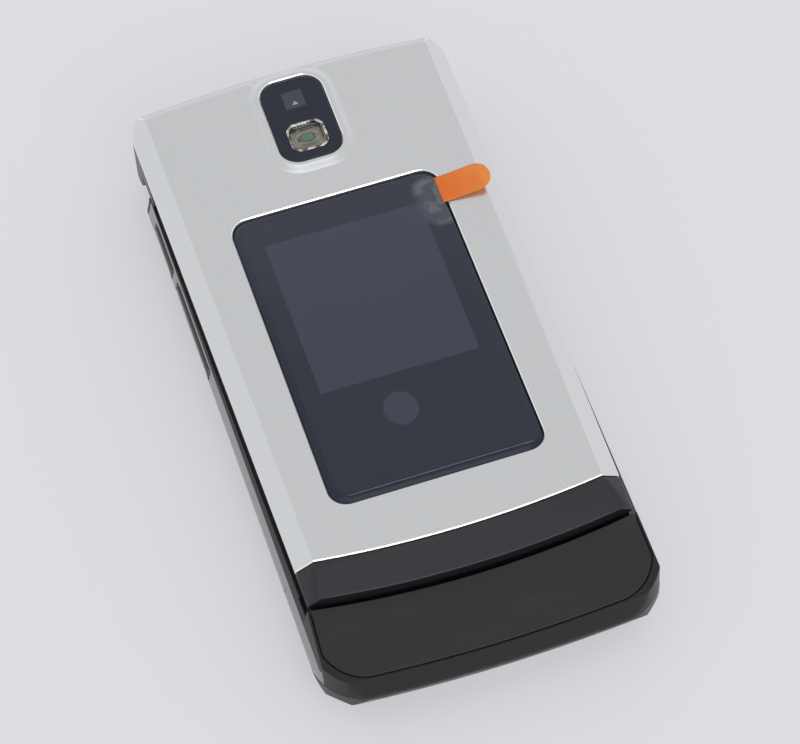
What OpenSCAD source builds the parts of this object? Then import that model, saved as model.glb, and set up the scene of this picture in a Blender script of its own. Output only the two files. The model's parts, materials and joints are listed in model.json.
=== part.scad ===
// Folding phone, closed and lying on its back: X across, +Y to the hinge end, +Z up

/* [Overall] */
// Length of the closed phone
phone_l = 98; // [96:0.5:104]
// Width across the widest line of the base
phone_w = 47.8; // [47.4:0.2:52]
// Height of the keypad deck above the table
deck_z = 10.3; // [10.2:0.1:11]
// Thickness of the lid at its flat top
lid_t = 5; // [4.9:0.1:6]
// Air between the closed lid and the deck
lid_gap = 0.3; // [0.2:0.05:0.4]

/* [Hinge] */
// Distance of the hinge axis from the hinge end
hinge_setback = 4.55; // [4.3:0.05:5]
// Depth of the hinge axis below the deck
hinge_drop = 1.2; // [1:0.1:1.4]
// Radius of the lid's barrel about the axis
barrel_r = 7.5; // [7.3:0.05:7.6]
// Running gap between the barrel and the base
barrel_gap = 0.3; // [0.2:0.05:0.4]
// Thickness of a hinge arm across the phone
arm_t = 1.8; // [1.4:0.1:2.2]
// Radius of an arm's round end
arm_r = 3.6; // [3.2:0.1:3.8]
// Reach of an arm in front of the axis
arm_reach = 9.6; // [9.2:0.1:10]
// Radius of the solid hinge pin
pin_r = 1.2; // [0.9:0.1:1.4]
// Radius of the hollow pivot
pivot_r = 1.7; // [1.5:0.1:1.8]
// Radius of the hollow pivot's bore
pivot_bore_r = 1.1; // [0.9:0.1:1.2]
// Radius of the spring cartridge
cartridge_r = 2.2; // [2:0.1:2.4]
// Length of the spring cartridge
cartridge_l = 13.5; // [11:0.5:16]
// Length of a pin inside the lid
pin_in_lid = 4.6; // [4:0.1:6]
// Radial play of the turning pins
pin_play = 0.05; // [0.02:0.01:0.09]

/* [Lid] */
// Set-in of the lid's edge from the base's side at the hinge end
lid_in_hinge = 0.6; // [0.4:0.1:0.9]
// Set-in of the lid's edge from the base's side at its tip
lid_in_tip = 1.6; // [1.2:0.1:1.9]
// Length of the chin in front of the lid's tip
chin_l = 11.2; // [10:0.1:12]
// Radius of the bowed tip line in plan
tip_r = 150; // [110:5:200]
// Depth of the black band at the tip
band_l = 5.4; // [5:0.1:6]
// Drop of the band's surface towards the tip
band_drop = 0.8; // [0.4:0.1:1.2]
// Width of the side bevel in plan
bevel_w = 2.5; // [2:0.1:3]
// Slope of the side bevel in degrees
bevel_a = 38; // [30:1:42]
// Depth of the silver skirt below the flat top
skirt_h = 2.6; // [2.4:0.1:2.8]
// Wall of the silver cover
cover_t = 1; // [0.8:0.1:1.2]
// Floor of the inner shell
frame_floor = 1; // [0.8:0.1:1.2]
// Side wall of the inner shell
frame_wall = 1.4; // [1.1:0.1:1.6]
// Set-back of the inner shell under the silver edge
frame_inset = 0.35; // [0.2:0.05:0.5]
// Corner radius of the lid's hinge end in plan
lid_corner_r = 4.2; // [3.5:0.1:4.4]
// Radius of the rounded edge along the hinge end
end_r = 2.2; // [1.8:0.1:2.8]
// Radius of the bowed hinge end in plan
end_bow_r = 200; // [150:10:300]

/* [Outer display] */
// Width of the outer window
window_w = 29.7; // [28:0.1:31]
// Corner radius of the outer window
window_r = 2.5; // [2:0.1:4]
// Thickness of the outer window
window_t = 1.1; // [1.05:0.05:1.4]
// Width of the window's sloping rim
window_rim = 0.9; // [0.6:0.1:1.4]
// Distance from the hinge end to the window
window_from_end = 24.5; // [23:0.1:26]
// Distance from the window to the black band
window_to_band = 8.3; // [7.5:0.1:9]
// Width of the outer screen
screen_w = 22.35; // [20:0.05:24]
// Distance from the window's upper edge to the screen
screen_from_edge = 5.2; // [4.5:0.1:6]
// Distance from the screen to the window's lower edge
screen_to_foot = 17.55; // [16.5:0.05:19]
// Thickness of the protective film
film_t = 0.12; // [0.1:0.02:0.2]
// Width of the film's pull tab
tab_w = 4.5; // [4:0.1:5.5]
// Length of the pull tab past the film
tab_l = 7.6; // [6:0.1:8]
// Rise of the pull tab towards its end in degrees
tab_a = 7; // [4:1:12]

/* [Camera] */
// Width of the camera window
camera_w = 9; // [8:0.1:10]
// Length of the camera window
camera_l = 14.6; // [13:0.1:15]
// Corner radius of the camera window
camera_r = 2.75; // [2.2:0.05:3.5]
// Height of the camera pedestal above the lid
bump_h = 0.5; // [0.3:0.05:0.6]
// Width of the pedestal's soft flank
bump_flank = 1.5; // [1:0.1:1.6]
// Width of the pedestal's flat rim
bump_rim = 0.5; // [0.3:0.1:0.6]
// Distance from the hinge end to the camera window
camera_from_end = 3.05; // [2.9:0.05:4]
// Side of the camera's square opening
aperture = 3.1; // [2.6:0.1:3.6]
// Width of the flash lens
flash_w = 4.7; // [4.2:0.1:5.2]
// Length of the flash lens
flash_l = 4.2; // [3.8:0.1:4.6]
// Distance between camera and flash centres
flash_pitch = 6.8; // [6.4:0.1:7.2]

/* [Main display] */
// Distance from the lid's side to the inner window
main_edge = 2.8; // [2.5:0.1:4]
// Distance from the lid's tip to the inner window
main_from_tip = 13.2; // [13:0.1:15]
// Distance from the hinge axis to the inner window
main_from_hinge = 16.4; // [16:0.1:18]
// Thickness of the inner window
main_t = 0.8; // [0.6:0.1:0.9]

/* [Base] */
// Height of the parting line between the two housings
split_z = 7.2; // [7:0.1:7.4]
// Height of the chin at the corners of the lid's tip
chin_z = 13.6; // [13:0.1:13.8]
// Height of the chin at its front rim
rim_z = 10.5; // [10.3:0.1:10.9]
// Gap between the lid's tip and the chin
chin_gap = 0.7; // [0.5:0.1:1]
// Plan corner radius at the chin
chin_corner_r = 7.5; // [6.5:0.1:8]
// Plan corner radius at the hinge end
rear_corner_r = 5; // [4:0.5:6]
// Radius of the bowed front end in plan
front_bow_r = 230; // [180:10:400]
// How far the cut under a front corner stays outside its round
corner_soft = 0.3; // [0.1:0.1:0.6]
// Height of the widest line of the base
wide_z = 6.9; // [6.6:0.1:7.2]
// Draw-in of the sides from the widest line to the chin's top
side_draw = 1.3; // [1:0.1:1.6]
// Draw-in of the sides from the widest line to the bottom
under_draw = 3.6; // [3:0.1:3.8]
// Wall of the housings
base_wall = 2.6; // [2.4:0.1:2.8]
// Floor of the rear housing
base_floor = 1.3; // [1.2:0.05:1.4]
// Height of the step round the battery bay
bay_z = 4.2; // [4:0.1:4.3]
// Distance from the front end to the battery bay
bay_from_front = 6.8; // [6.5:0.1:8]
// Thickness of the deck
deck_t = 0.8; // [0.7:0.05:0.9]
// Thickness of the chin cap
cap_t = 1; // [0.8:0.1:1.1]
// Width of the chin's rim outside the cap
cap_rim = 0.4; // [0.35:0.05:0.6]
// Thickness of a side rail
rail_t = 1; // [0.8:0.05:1.1]
// Distance from the front end to a rail's end
rail_from_front = 4.6; // [4.4:0.1:6]

/* [Keys] */
// Distance from the housing's hollow to the outer key columns
key_edge = 0.9; // [0.8:0.1:1.5]
// Gap between number keys
key_gap = 0.6; // [0.6:0.05:1]
// Distance from the lid's tip line to the last key row
keys_from_tip = 4.3; // [4:0.1:5]
// Distance from the navigation ring to the first key row
keys_from_nav = 4.85; // [4.6:0.05:6]
// Outer radius of the navigation ring
nav_r = 9; // [8.5:0.1:9.4]
// Radius of the select key
select_r = 4.4; // [4:0.1:5]
// Distance from the hinge axis to the navigation ring's centre
nav_from_hinge = 29; // [27:0.5:30]
// Distance from the housing's hollow to the soft keys
soft_edge = 2; // [1.5:0.1:3]
// Gap between the soft keys and the navigation ring
soft_gap = 0.9; // [0.8:0.1:1.4]
// Length of a soft, call or end key
soft_l = 8.2; // [7.5:0.1:8.6]
// Height of the keys above the deck
key_rise = 0.12; // [0.08:0.02:0.16]
// Travel of the keys
key_travel = 0.3; // [0.2:0.05:0.35]
// Play of a key in its opening
key_play = 0.12; // [0.08:0.02:0.2]
// Length of the volume key
volume_l = 16; // [14:0.5:17]
// Length of the talk key
talk_l = 8.8; // [8:0.1:10]
// Height of the side keys
side_key_h = 1.5; // [1.3:0.1:1.6]
// Stand-out of the side keys from the rail
side_key_out = 0.35; // [0.3:0.05:0.5]
// Distance from the hinge end to the talk key
talk_from_end = 16.1; // [15.8:0.1:18]
// Gap between the two side keys
side_key_gap = 2; // [1.6:0.1:2.5]

/* [Inside] */
// Distance from the battery cover's side to the battery
battery_edge = 1.2; // [1:0.1:2]
// Length of the base's hollow that the battery leaves free
battery_room = 28.95; // [28:0.05:32]
// Thickness of the battery
battery_t = 6; // [5.5:0.1:6.2]
// Distance from the base's side to the battery cover
door_edge = 4.9; // [4.8:0.1:6]
// Reach of the battery cover past each end of the battery
door_over = 3; // [2:0.1:3.2]
// Thickness of the main board
board_t = 0.8; // [0.6:0.1:0.9]
// Play between parts that are clipped or glued together
fit = 0.05; // [0.03:0.01:0.08]
// Visible joint between outer parts
seam = 0.12; // [0.08:0.02:0.2]

/* [Hidden] */
$fn = 64;
// Steps on a full circle of large radius
bow_fn = 720;
// Length that is sure to pass through the phone
far = 200;
// Overlap that keeps two arcs from only just touching
touch = 0.02;
// Smallest corner radius of a plan that is set in
least_r = 0.6;
y_rear = phone_l / 2;
y_front = -phone_l / 2;
lid_bot = deck_z + lid_gap;
lid_top = lid_bot + lid_t;
skirt_z = lid_top - skirt_h;
hinge_y = y_rear - hinge_setback;
hinge_z = deck_z - hinge_drop;
trough_r = barrel_r + barrel_gap;
tip_y = y_front + chin_l;
band_y = tip_y + band_l;
lid_w_hinge = phone_w - 2 * lid_in_hinge;
lid_w_tip = phone_w - 2 * lid_in_tip;
arm_x1 = lid_w_hinge / 2 - 0.1;
arm_x0 = arm_x1 - arm_t;
barrel_x = arm_x0 - barrel_gap;
lid_mid_y = (y_rear + tip_y) / 2;
lid_taper = atan((lid_w_hinge - lid_w_tip) / 2 / (y_rear - tip_y));
lid_mid_w = (lid_w_hinge + lid_w_tip) / 2;
window_l = y_rear - window_from_end - band_y - window_to_band;
window_y = y_rear - window_from_end - window_l / 2;
screen_l = window_l - screen_from_edge - screen_to_foot;
screen_y = window_y + window_l / 2 - screen_from_edge - screen_l / 2;
window_z = lid_top - 0.05;
film_z = window_z + 0.02;
camera_y = y_rear - camera_from_end - camera_l / 2;
camera_z = lid_top + bump_h - 0.15;
aperture_y = camera_y + flash_pitch / 2 + 0.2;
flash_y = aperture_y - flash_pitch;
base_x = phone_w / 2;
cavity_x = base_x - base_wall;
cavity_y0 = y_front + base_wall;
cavity_y1 = hinge_y - trough_r - base_wall;
bay_x = base_x - door_edge;
bay_y0 = y_front + bay_from_front;
deck_under = deck_z - deck_t;
tip_sag = tip_r - sqrt(pow(tip_r, 2) - pow(lid_w_tip / 2, 2));
chin_back_y = tip_y - chin_gap + tip_sag;
slope_a = atan((chin_z - rim_z) / (chin_back_y - y_front));
rail_y0 = y_front + rail_from_front;
rail_y1 = hinge_y - trough_r - 0.7;
dome_top = deck_under - 0.7;
board_z = dome_top - 0.2 - board_t;
battery_z = board_z - fit - battery_t;
battery_w = 2 * (bay_x - battery_edge);
battery_l = cavity_y1 - cavity_y0 - battery_room;
battery_y = cavity_y1 - battery_l / 2 - 1;
door_w = 2 * bay_x;
door_l = battery_l + 2 * door_over;
door_y = battery_y;
door_t = base_floor - fit;
key_bottom = dome_top + key_travel + 0.1;
key_top = deck_z + key_rise;
nav_y = hinge_y - nav_from_hinge;
key_w = (2 * cavity_x - 2 * key_edge - 2 * key_gap) / 3;
key_pitch_x = key_w + key_gap;
rows_y0 = tip_y + keys_from_tip;
rows_y1 = nav_y - nav_r - keys_from_nav;
key_pitch_y = (rows_y1 - rows_y0 + key_gap) / 4;
key_l = key_pitch_y - key_gap;
last_row_y = rows_y0 + key_l / 2;
soft_w = cavity_x - soft_edge - nav_r - soft_gap;
soft_x = nav_r + soft_gap + soft_w / 2;
soft_y = soft_l / 2 + 0.4;
side_key_lip = 0.25;
side_key_z = deck_under - fit - side_key_lip - side_key_h / 2;
talk_y = y_rear - talk_from_end - talk_l / 2;
volume_y = talk_y - talk_l / 2 - side_key_gap - volume_l / 2;
panel_z = lid_bot + main_t + 0.2;
panel_t = 1.2;
lid_board_z = panel_z + panel_t + fit;
lid_board_t = 0.6;
port_y = (rail_y0 + rail_y1) / 2 - 16;
jack_y = port_y - 11;
port_w = 7.4;
port_h = 1.7;
port_depth = 2.4;
port_z = side_key_z;
jack_r = 1.1;
jack_wall = 0.2;
jack_z = bay_z + fit + jack_r + jack_wall;
jack_depth = 2.2;
screw_r = 1.4;
screw_h = 0.6;
screw_sink = 0.1;
screw_shank = 0.35;

function unit(v) = v / norm(v);
function corner_of(pts, i) = let (n = len(pts), p = pts[i])
    [p, unit(pts[(i + n - 1) % n] - p), unit(pts[(i + 1) % n] - p)];

// Convex outline with true arcs at its corners, one radius for each point
module round_poly(pts, radii) {
    corners = [for (i = [0 : len(pts) - 1])
        let (c = corner_of(pts, i), r = radii[i], half = acos(c[1] * c[2]) / 2)
        [c[0] + c[1] * r / tan(half), c[0] + c[2] * r / tan(half), c[0] + unit(c[1] + c[2]) * r / sin(half), r]];
    polygon([for (c = corners) each (c[3] > 0 ? [c[0], c[1]] : [c[0]])]);
    for (c = corners)
        if (c[3] > 0)
            translate(c[2])
                circle(c[3]);
}

// Rounded plate between two heights
module plate(w, l, r, z0, z1, at = [0, 0]) {
    translate([at.x, at.y, z0])
        linear_extrude(z1 - z0)
            round_poly([[-w / 2, -l / 2], [w / 2, -l / 2], [w / 2, l / 2], [-w / 2, l / 2]], [r, r, r, r]);
}

// Sweeps a profile of distance and height round a rounded rectangle
module ring_sweep(w, l, r) {
    sides = [[w / 2 - r, l / 2 - r], [l / 2 - r, w / 2 - r]];
    for (q = [0 : 3]) {
        s = sides[q % 2];
        rotate([0, 0, 90 * q])
            translate([s.x, s.y, 0])
                rotate_extrude(angle = 90)
                    children();
        rotate([0, 0, 90 * q])
            translate([s.x, s.y, 0])
                rotate([90, 0, 0])
                    linear_extrude(2 * s.y)
                        children();
    }
}

// Rounded plate whose top edge is bevelled
module edged_plate(w, l, r, z0, z1, edge_w, edge_h, at = [0, 0]) {
    translate([at.x, at.y, 0]) {
        ring_sweep(w, l, r)
            polygon([[0, z0], [r, z0], [r, z1 - edge_h], [r - edge_w, z1], [0, z1]]);
        translate([r - w / 2, r - l / 2, z0])
            cube([w - 2 * r, l - 2 * r, z1 - z0]);
    }
}

// Extrudes a side outline of length and height across the phone
module across(x0, x1) {
    translate([x0, 0, 0])
        rotate([90, 0, 90])
            linear_extrude(x1 - x0)
                children();
}

module hinge_disc(r, x0, x1) {
    across(x0, x1)
        translate([hinge_y, hinge_z])
            circle(r);
}

// Centre of a corner arc that touches a side, given by a point, a run and its inward normal, and a bowed end
function corner_centre(p, run, inward, r, bow_c, bow) =
    let (q = p + r * inward - bow_c, k = q * run)
    bow_c + q + run * (sqrt(k * k - q * q + pow(bow - r + touch, 2)) - k);

// Point of a bowed end beyond a corner's centre
function on_bow(c, bow_c, bow) = bow_c + unit(c - bow_c) * bow;

// Point a little past a bowed end, on the line through a corner's centre
function past_bow(c, bow_c, bow) = on_bow(c, bow_c, bow + 2);

// Outline given by its right half
module even_poly(right) {
    left = [for (i = [len(right) - 1 : -1 : 0]) [-right[i].x, right[i].y]];
    polygon(concat(right, left));
}

module even_circles(c, r) {
    for (s = [-1, 1])
        translate([s * c.x, c.y])
            circle(r);
}

// Plan of the lid, set in from its edges, out to a tip line
module lid_plan(inset, tip) {
    hinge_end = [lid_w_hinge / 2 - inset, y_rear];
    run = unit(hinge_end - [lid_w_tip / 2 - inset, tip_y]);
    inward = [-run.y, run.x];
    r = max(lid_corner_r - inset, least_r);
    bow_c = [0, y_rear - end_bow_r];
    bow = end_bow_r - inset;
    c = corner_centre(hinge_end, run, inward, r, bow_c, bow);
    t = on_bow(c, bow_c, bow);
    intersection() {
        even_poly([hinge_end - run * phone_l, c - inward * r, c, t, [t.x, y_rear + 1]]);
        translate(bow_c)
            circle(bow, $fn = bow_fn);
        translate([0, tip + tip_r])
            circle(tip_r, $fn = bow_fn);
    }
    even_circles(c, r);
}

// Slanting cutters that leave the bevels along both sides of the lid
module bevel_cut(drop) {
    for (s = [-1, 1])
        translate([s * (lid_mid_w / 2 - bevel_w), lid_mid_y, lid_top - drop])
            rotate([0, 0, -s * lid_taper])
                rotate([0, s * bevel_a, 0])
                    translate([s > 0 ? 0 : -far, -far / 2, 0])
                        cube([far, far, far]);
}

// Body of the lid's outer skin, with its rounded hinge end
module lid_skin(z0, tip, drop) {
    difference() {
        intersection() {
            translate([0, 0, z0])
                linear_extrude(lid_top - drop - z0)
                    lid_plan(0, tip);
            translate([0, y_rear - end_bow_r, 0])
                rotate_extrude($fn = bow_fn)
                    round_poly([[end_bow_r - phone_l, 0], [end_bow_r, 0], [end_bow_r, lid_top],
                        [end_bow_r - phone_l, lid_top]], [0, 0, end_r, 0]);
        }
        bevel_cut(drop);
    }
}

// Soft pedestal round the camera window, an even wave from the flat top to its rim
module camera_bump() {
    steps = 8;
    outer = camera_r + bump_rim;
    translate([0, camera_y, lid_top])
        ring_sweep(camera_w, camera_l, camera_r)
            polygon(concat([[camera_r + seam, -cover_t / 2], [camera_r + seam, bump_h]],
                [for (i = [0 : steps]) [outer + bump_flank * i / steps, bump_h * (1 + cos(180 * i / steps)) / 2]],
                [[outer + bump_flank, -cover_t / 2]]));
}

module lid_cover() {
    inner_top = lid_top - cover_t;
    hollow_x = lid_w_tip / 2 - bevel_w - cover_t;
    color("silver")
        difference() {
            union() {
                lid_skin(skirt_z, band_y, 0);
                intersection() {
                    lid_skin(hinge_z, band_y, 0);
                    translate([-barrel_x, hinge_y, 0])
                        cube([2 * barrel_x, far, far]);
                }
                camera_bump();
            }
            translate([0, 0, hinge_z - 1])
                linear_extrude(inner_top - hinge_z + 1)
                    intersection() {
                        lid_plan(cover_t, band_y + cover_t);
                        translate([-hollow_x, -far])
                            square([2 * hollow_x, far + y_rear - cover_t - end_r / 2]);
                    }
            translate([0, 0, hinge_z - 1])
                linear_extrude(skirt_z - hinge_z + 1)
                    lid_plan(cover_t, band_y);
            plate(window_w + 2 * seam, window_l + 2 * seam, window_r + seam, inner_top - 1, far, [0, window_y]);
            plate(camera_w + 2 * seam, camera_l + 2 * seam, camera_r + seam, lid_top - cover_t / 2, far,
                [0, camera_y]);
            plate(camera_w - 1.6, camera_l - 1.6, camera_r - 0.8, inner_top - 1, far, [0, camera_y]);
        }
}

module lid_tip_band() {
    step = 0.15;
    color("#33363a")
        difference() {
            lid_skin(skirt_z, tip_y, step);
            translate([0, band_y + tip_r, 0])
                cylinder(h = far, r = tip_r + seam, $fn = bow_fn);
            translate([0, band_y, lid_top - step])
                rotate([atan(band_drop / band_l), 0, 0])
                    translate([-far / 2, -far, 0])
                        cube([far, 2 * far, far]);
        }
}

main_w = lid_w_tip - 2 * main_edge;
main_l = hinge_y - main_from_hinge - tip_y - main_from_tip;
main_y = tip_y + main_from_tip + main_l / 2;
earpiece_y = tip_y + 6;
lid_screw_x = lid_w_tip / 2 - 4;
lid_screw_at = [for (s = [-1, 1], y = [hinge_y - 13, tip_y + 9]) [s * lid_screw_x, y]];
bumper_at = [[-12.5, tip_y + 3], [12.5, tip_y + 3]];

module lid_frame() {
    pocket_end = hinge_y - barrel_r - frame_wall;
    color("#2b2d31")
        difference() {
            translate([0, 0, lid_bot])
                linear_extrude(skirt_z - lid_bot)
                    intersection() {
                        lid_plan(frame_inset, tip_y + frame_inset);
                        translate([-far / 2, -far])
                            square([far, far + hinge_y - barrel_r / 2]);
                    }
            hinge_disc(barrel_r + fit, -barrel_x - fit, barrel_x + fit);
            for (s = [-1, 1])
                hinge_disc(arm_reach + barrel_gap, min(s * barrel_x, s * far), max(s * barrel_x, s * far));
            translate([0, 0, lid_bot + frame_floor])
                linear_extrude(far)
                    intersection() {
                        lid_plan(frame_inset + frame_wall, tip_y + frame_inset + frame_wall);
                        translate([-far / 2, -far])
                            square([far, far + pocket_end]);
                    }
            plate(main_w + 2 * seam, main_l + 2 * seam, 1.5, 0, lid_bot + main_t, [0, main_y]);
            plate(main_w - 3, main_l - 3, 1, 0, far, [0, main_y]);
            plate(11 + 2 * fit, 2 + 2 * fit, 0.9, 0, far, [0, earpiece_y]);
            for (p = lid_screw_at)
                translate(p)
                    screw_hole(lid_bot);
            for (p = bumper_at)
                plate(5 + 2 * fit, 1.6 + 2 * fit, 0.7, 0, lid_bot + 0.4, p);
        }
}

// Full round end of the lid that turns in the base's trough
module hinge_barrel() {
    color("#2b2d31")
        difference() {
            intersection() {
                hinge_disc(barrel_r, -barrel_x, barrel_x);
                union() {
                    linear_extrude(skirt_z)
                        lid_plan(cover_t + fit, tip_y);
                    linear_extrude(hinge_z - fit)
                        lid_plan(0, tip_y);
                }
            }
            hinge_disc(cartridge_r + fit, -barrel_x - 1, -barrel_x + cartridge_l + fit);
            hinge_disc(pivot_r + pin_play, barrel_x - pin_in_lid - 1, barrel_x + 1);
            hinge_disc(pivot_bore_r, camera_w / 2 + 2, barrel_x);
            plate(camera_w - 1.2, camera_w - 1.2, 0.6, hinge_z + 1.5, far, [0, aperture_y]);
        }
}

module outer_display_window() {
    color("#23262c")
        edged_plate(window_w, window_l, window_r, window_z - window_t, window_z, window_rim, 0.4, [0, window_y]);
}

module outer_display_panel() {
    z0 = lid_board_z + lid_board_t;
    z1 = window_z - window_t - fit;
    color("#494d58") {
        plate(screen_w, screen_l, 0.5, z0, z1, [0, screen_y]);
        plate(screen_w + 3, screen_l + 8, 1, z0, z1 - 0.4, [0, screen_y - 2]);
    }
}

// Clear film on the lens with a pull tab that lifts off the cover
module screen_film() {
    edge = window_w / 2 - window_rim;
    tab_y = window_y + window_l / 2 - window_rim - tab_w / 2 - 1.4;
    color("orange") {
        plate(2 * edge, window_l - 2 * window_rim, window_r - 0.6, film_z, film_z + film_t, [0, window_y]);
        translate([edge - 1, tab_y, film_z + film_t / 2])
            rotate([0, -tab_a, 0])
                linear_extrude(film_t)
                    union() {
                        translate([0, -tab_w / 2])
                            square([tab_l + 1 - tab_w / 2, tab_w]);
                        translate([tab_l + 1 - tab_w / 2, 0])
                            circle(tab_w / 2);
                    }
    }
}

module camera_window() {
    z0 = lid_top - cover_t / 2;
    color("#1e2127")
        difference() {
            edged_plate(camera_w, camera_l, camera_r, z0, camera_z, 0.3, 0.2, [0, camera_y]);
            plate(aperture, aperture, 0.3, 0, far, [0, aperture_y]);
            plate(flash_w + 0.8 + 2 * fit, flash_l + 0.8 + 2 * fit, 1.4, 0, far, [0, flash_y]);
        }
}

// Camera block with its lens barrel and domed front element
module camera_module() {
    block = camera_w - 1.6;
    z1 = lid_top - cover_t - fit;
    lens_r = aperture / 2 + 0.9;
    color("#3a3d45") {
        plate(block, block, 0.5, hinge_z + 1.5, z1, [0, aperture_y]);
        translate([0, aperture_y, z1])
            cylinder(h = cover_t / 2, r = lens_r);
        translate([0, aperture_y, z1 + cover_t / 2 - 1.5])
            intersection() {
                sphere(r = 1.85);
                cylinder(h = 4, r = aperture / 2 - 0.15);
            }
    }
}

// Stepped clear lens over the lamp
module flash_lens() {
    z0 = lid_top - cover_t / 2;
    color("#dfe6d8") {
        edged_plate(flash_w, flash_l, 1.2, z0, camera_z, 0.3, 0.2, [0, flash_y]);
        edged_plate(flash_w - 1.5, flash_l - 1.5, 0.8, camera_z - fit, camera_z + 0.18, 0.25, 0.15, [0, flash_y]);
    }
}

module flash_ring() {
    z0 = lid_top - cover_t / 2;
    color("gainsboro")
        difference() {
            plate(flash_w + 0.8, flash_l + 0.8, 1.4, z0, camera_z + 0.08, [0, flash_y]);
            plate(flash_w + 2 * fit, flash_l + 2 * fit, 1.2, 0, far, [0, flash_y]);
        }
}

module flash_led() {
    z0 = lid_board_z + lid_board_t + fit;
    z1 = lid_top - cover_t / 2 - fit;
    color("#c9c06a") {
        plate(flash_w - 0.5, flash_l - 0.5, 0.3, z0, z1 - 0.6, [0, flash_y]);
        plate(2.2, 1.8, 0.5, z0, z1, [0, flash_y]);
    }
}

module main_display_window() {
    color("#15171b")
        plate(main_w, main_l, 1.4, lid_bot, lid_bot + main_t - fit, [0, main_y]);
}

module main_display_panel() {
    color("#50545e")
        plate(main_w - 1, main_l - 1, 0.5, panel_z, panel_z + panel_t, [0, main_y]);
}

// Slotted grille in front of the receiver
module earpiece_grille() {
    slots = 5;
    color("#55585e")
        difference() {
            plate(11, 2, 0.9, lid_bot, lid_bot + frame_floor, [0, earpiece_y]);
            for (i = [0 : slots - 1])
                plate(1.2, 1, 0.4, 0, far, [(i - (slots - 1) / 2) * 1.9, earpiece_y]);
        }
}

module earpiece_speaker() {
    color("#6a6d72")
        plate(13, 6, 1.5, lid_bot + frame_floor, skirt_z - fit, [0, earpiece_y + 0.4]);
}

module lid_board() {
    z = lid_board_z;
    l = hinge_y - barrel_r - frame_wall - (main_y - main_l / 2) - 1.2;
    color("seagreen")
        plate(main_w - 2, l, 1, z, z + lid_board_t, [0, main_y - main_l / 2 + l / 2 + 0.6]);
}

module lid_bumpers() {
    color("#1c1c1e")
        for (p = bumper_at)
            plate(5, 1.6, 0.7, deck_z + 0.03, lid_bot + 0.4 - fit, p);
}

// Small cross-slot screw in a face at height z: head with a straight shank above it
module screw(z) {
    arm = screw_r * 1.2;
    slot = 0.4;
    translate([0, 0, z + screw_sink])
        difference() {
            union() {
                cylinder(h = screw_h, r = screw_r);
                cylinder(h = screw_h + screw_shank, r = screw_r / 2);
            }
            cube([arm, slot, screw_h], center = true);
            cube([slot, arm, screw_h], center = true);
        }
}

module screw_hole(z) {
    translate([0, 0, z - 1])
        cylinder(h = 1 + screw_sink + screw_h, r = screw_r + fit);
    translate([0, 0, z])
        cylinder(h = screw_sink + screw_h + screw_shank + fit, r = screw_r / 2 + fit);
}

module lid_screws() {
    color("dimgray")
        for (p = lid_screw_at)
            translate(p)
                screw(lid_bot);
}

module hinge_cartridge() {
    color("darkgray")
        difference() {
            union() {
                hinge_disc(cartridge_r, -barrel_x + 1, -barrel_x + cartridge_l);
                hinge_disc(cartridge_r - 0.4, -barrel_x, -barrel_x + 1.5);
            }
            hinge_disc(pin_r + pin_play, -barrel_x - 1, -barrel_x + pin_in_lid + fit);
        }
}

module hinge_pin_left() {
    color("lightsteelblue")
        hinge_disc(pin_r, -arm_x1 + 0.4, -barrel_x + pin_in_lid);
}

module hinge_pin_right() {
    color("lightsteelblue")
        difference() {
            hinge_disc(pivot_r, barrel_x - pin_in_lid, arm_x1 - 0.4);
            hinge_disc(pivot_bore_r, 0, far);
        }
}

// Arm of the base that reaches back over the trough and holds one hinge pin
module hinge_arm(s, bore_r) {
    arm_in = 0.4;
    mirror([s < 0 ? 1 : 0, 0, 0])
        difference() {
            intersection() {
                union() {
                    across(arm_x0, arm_x1)
                        intersection() {
                            translate([hinge_y, hinge_z])
                                circle(arm_reach);
                            translate([hinge_y - 2 * arm_reach, deck_z])
                                square([2 * arm_reach, arm_r - hinge_drop]);
                        }
                    hinge_disc(arm_r, arm_x0, arm_x1);
                    arm_foot(0);
                }
                linear_extrude(far)
                    base_plan(arm_in);
            }
            hinge_disc(bore_r + fit / 2, arm_x0 - 1, arm_x1 - 0.4 + fit);
        }
}

// Tenon under an arm that sits in the housing's wall
module arm_foot(grow) {
    foot_t = 0.7;
    foot_h = 2.6;
    y0 = hinge_y - arm_reach + 0.3;
    y1 = hinge_y - trough_r - 0.4;
    translate([arm_x0 - grow, y0 - grow, deck_z - foot_h - grow])
        cube([foot_t + 2 * grow, y1 - y0 + 2 * grow, foot_h + 2 * grow]);
}

module hinge_arm_left() {
    color("#4a4d52")
        hinge_arm(-1, pin_r);
}

module hinge_arm_right() {
    color("#4a4d52")
        hinge_arm(1, pivot_r);
}

// Plan of the base, set in from its edges
module base_plan(inset) {
    half = base_x - inset;
    nose_r = chin_corner_r - inset;
    tail_r = max(rear_corner_r - inset, least_r);
    nose_c = [0, y_front + front_bow_r];
    tail_c = [0, y_rear - end_bow_r];
    nose = corner_centre([half, 0], [0, -1], [-1, 0], nose_r, nose_c, front_bow_r - inset);
    tail = corner_centre([half, 0], [0, 1], [-1, 0], tail_r, tail_c, end_bow_r - inset);
    nose_out = past_bow(nose, nose_c, front_bow_r - inset);
    tail_out = past_bow(tail, tail_c, end_bow_r - inset);
    intersection() {
        even_poly([nose_out, nose, [half, nose.y], [half, tail.y], tail, tail_out]);
        translate(nose_c)
            circle(front_bow_r - inset, $fn = bow_fn);
        translate(tail_c)
            circle(end_bow_r - inset, $fn = bow_fn);
    }
    even_circles(nose, nose_r);
    even_circles(tail, tail_r);
}

// Half-width of the base's side at a height above its widest line
function side_x(z) = base_x - side_draw * (z - wide_z) / (chin_z - wide_z);

// Half-width of the base's side at a height below its widest line
function under_x(z) = base_x - under_draw * (wide_z - z) / wide_z;

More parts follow.
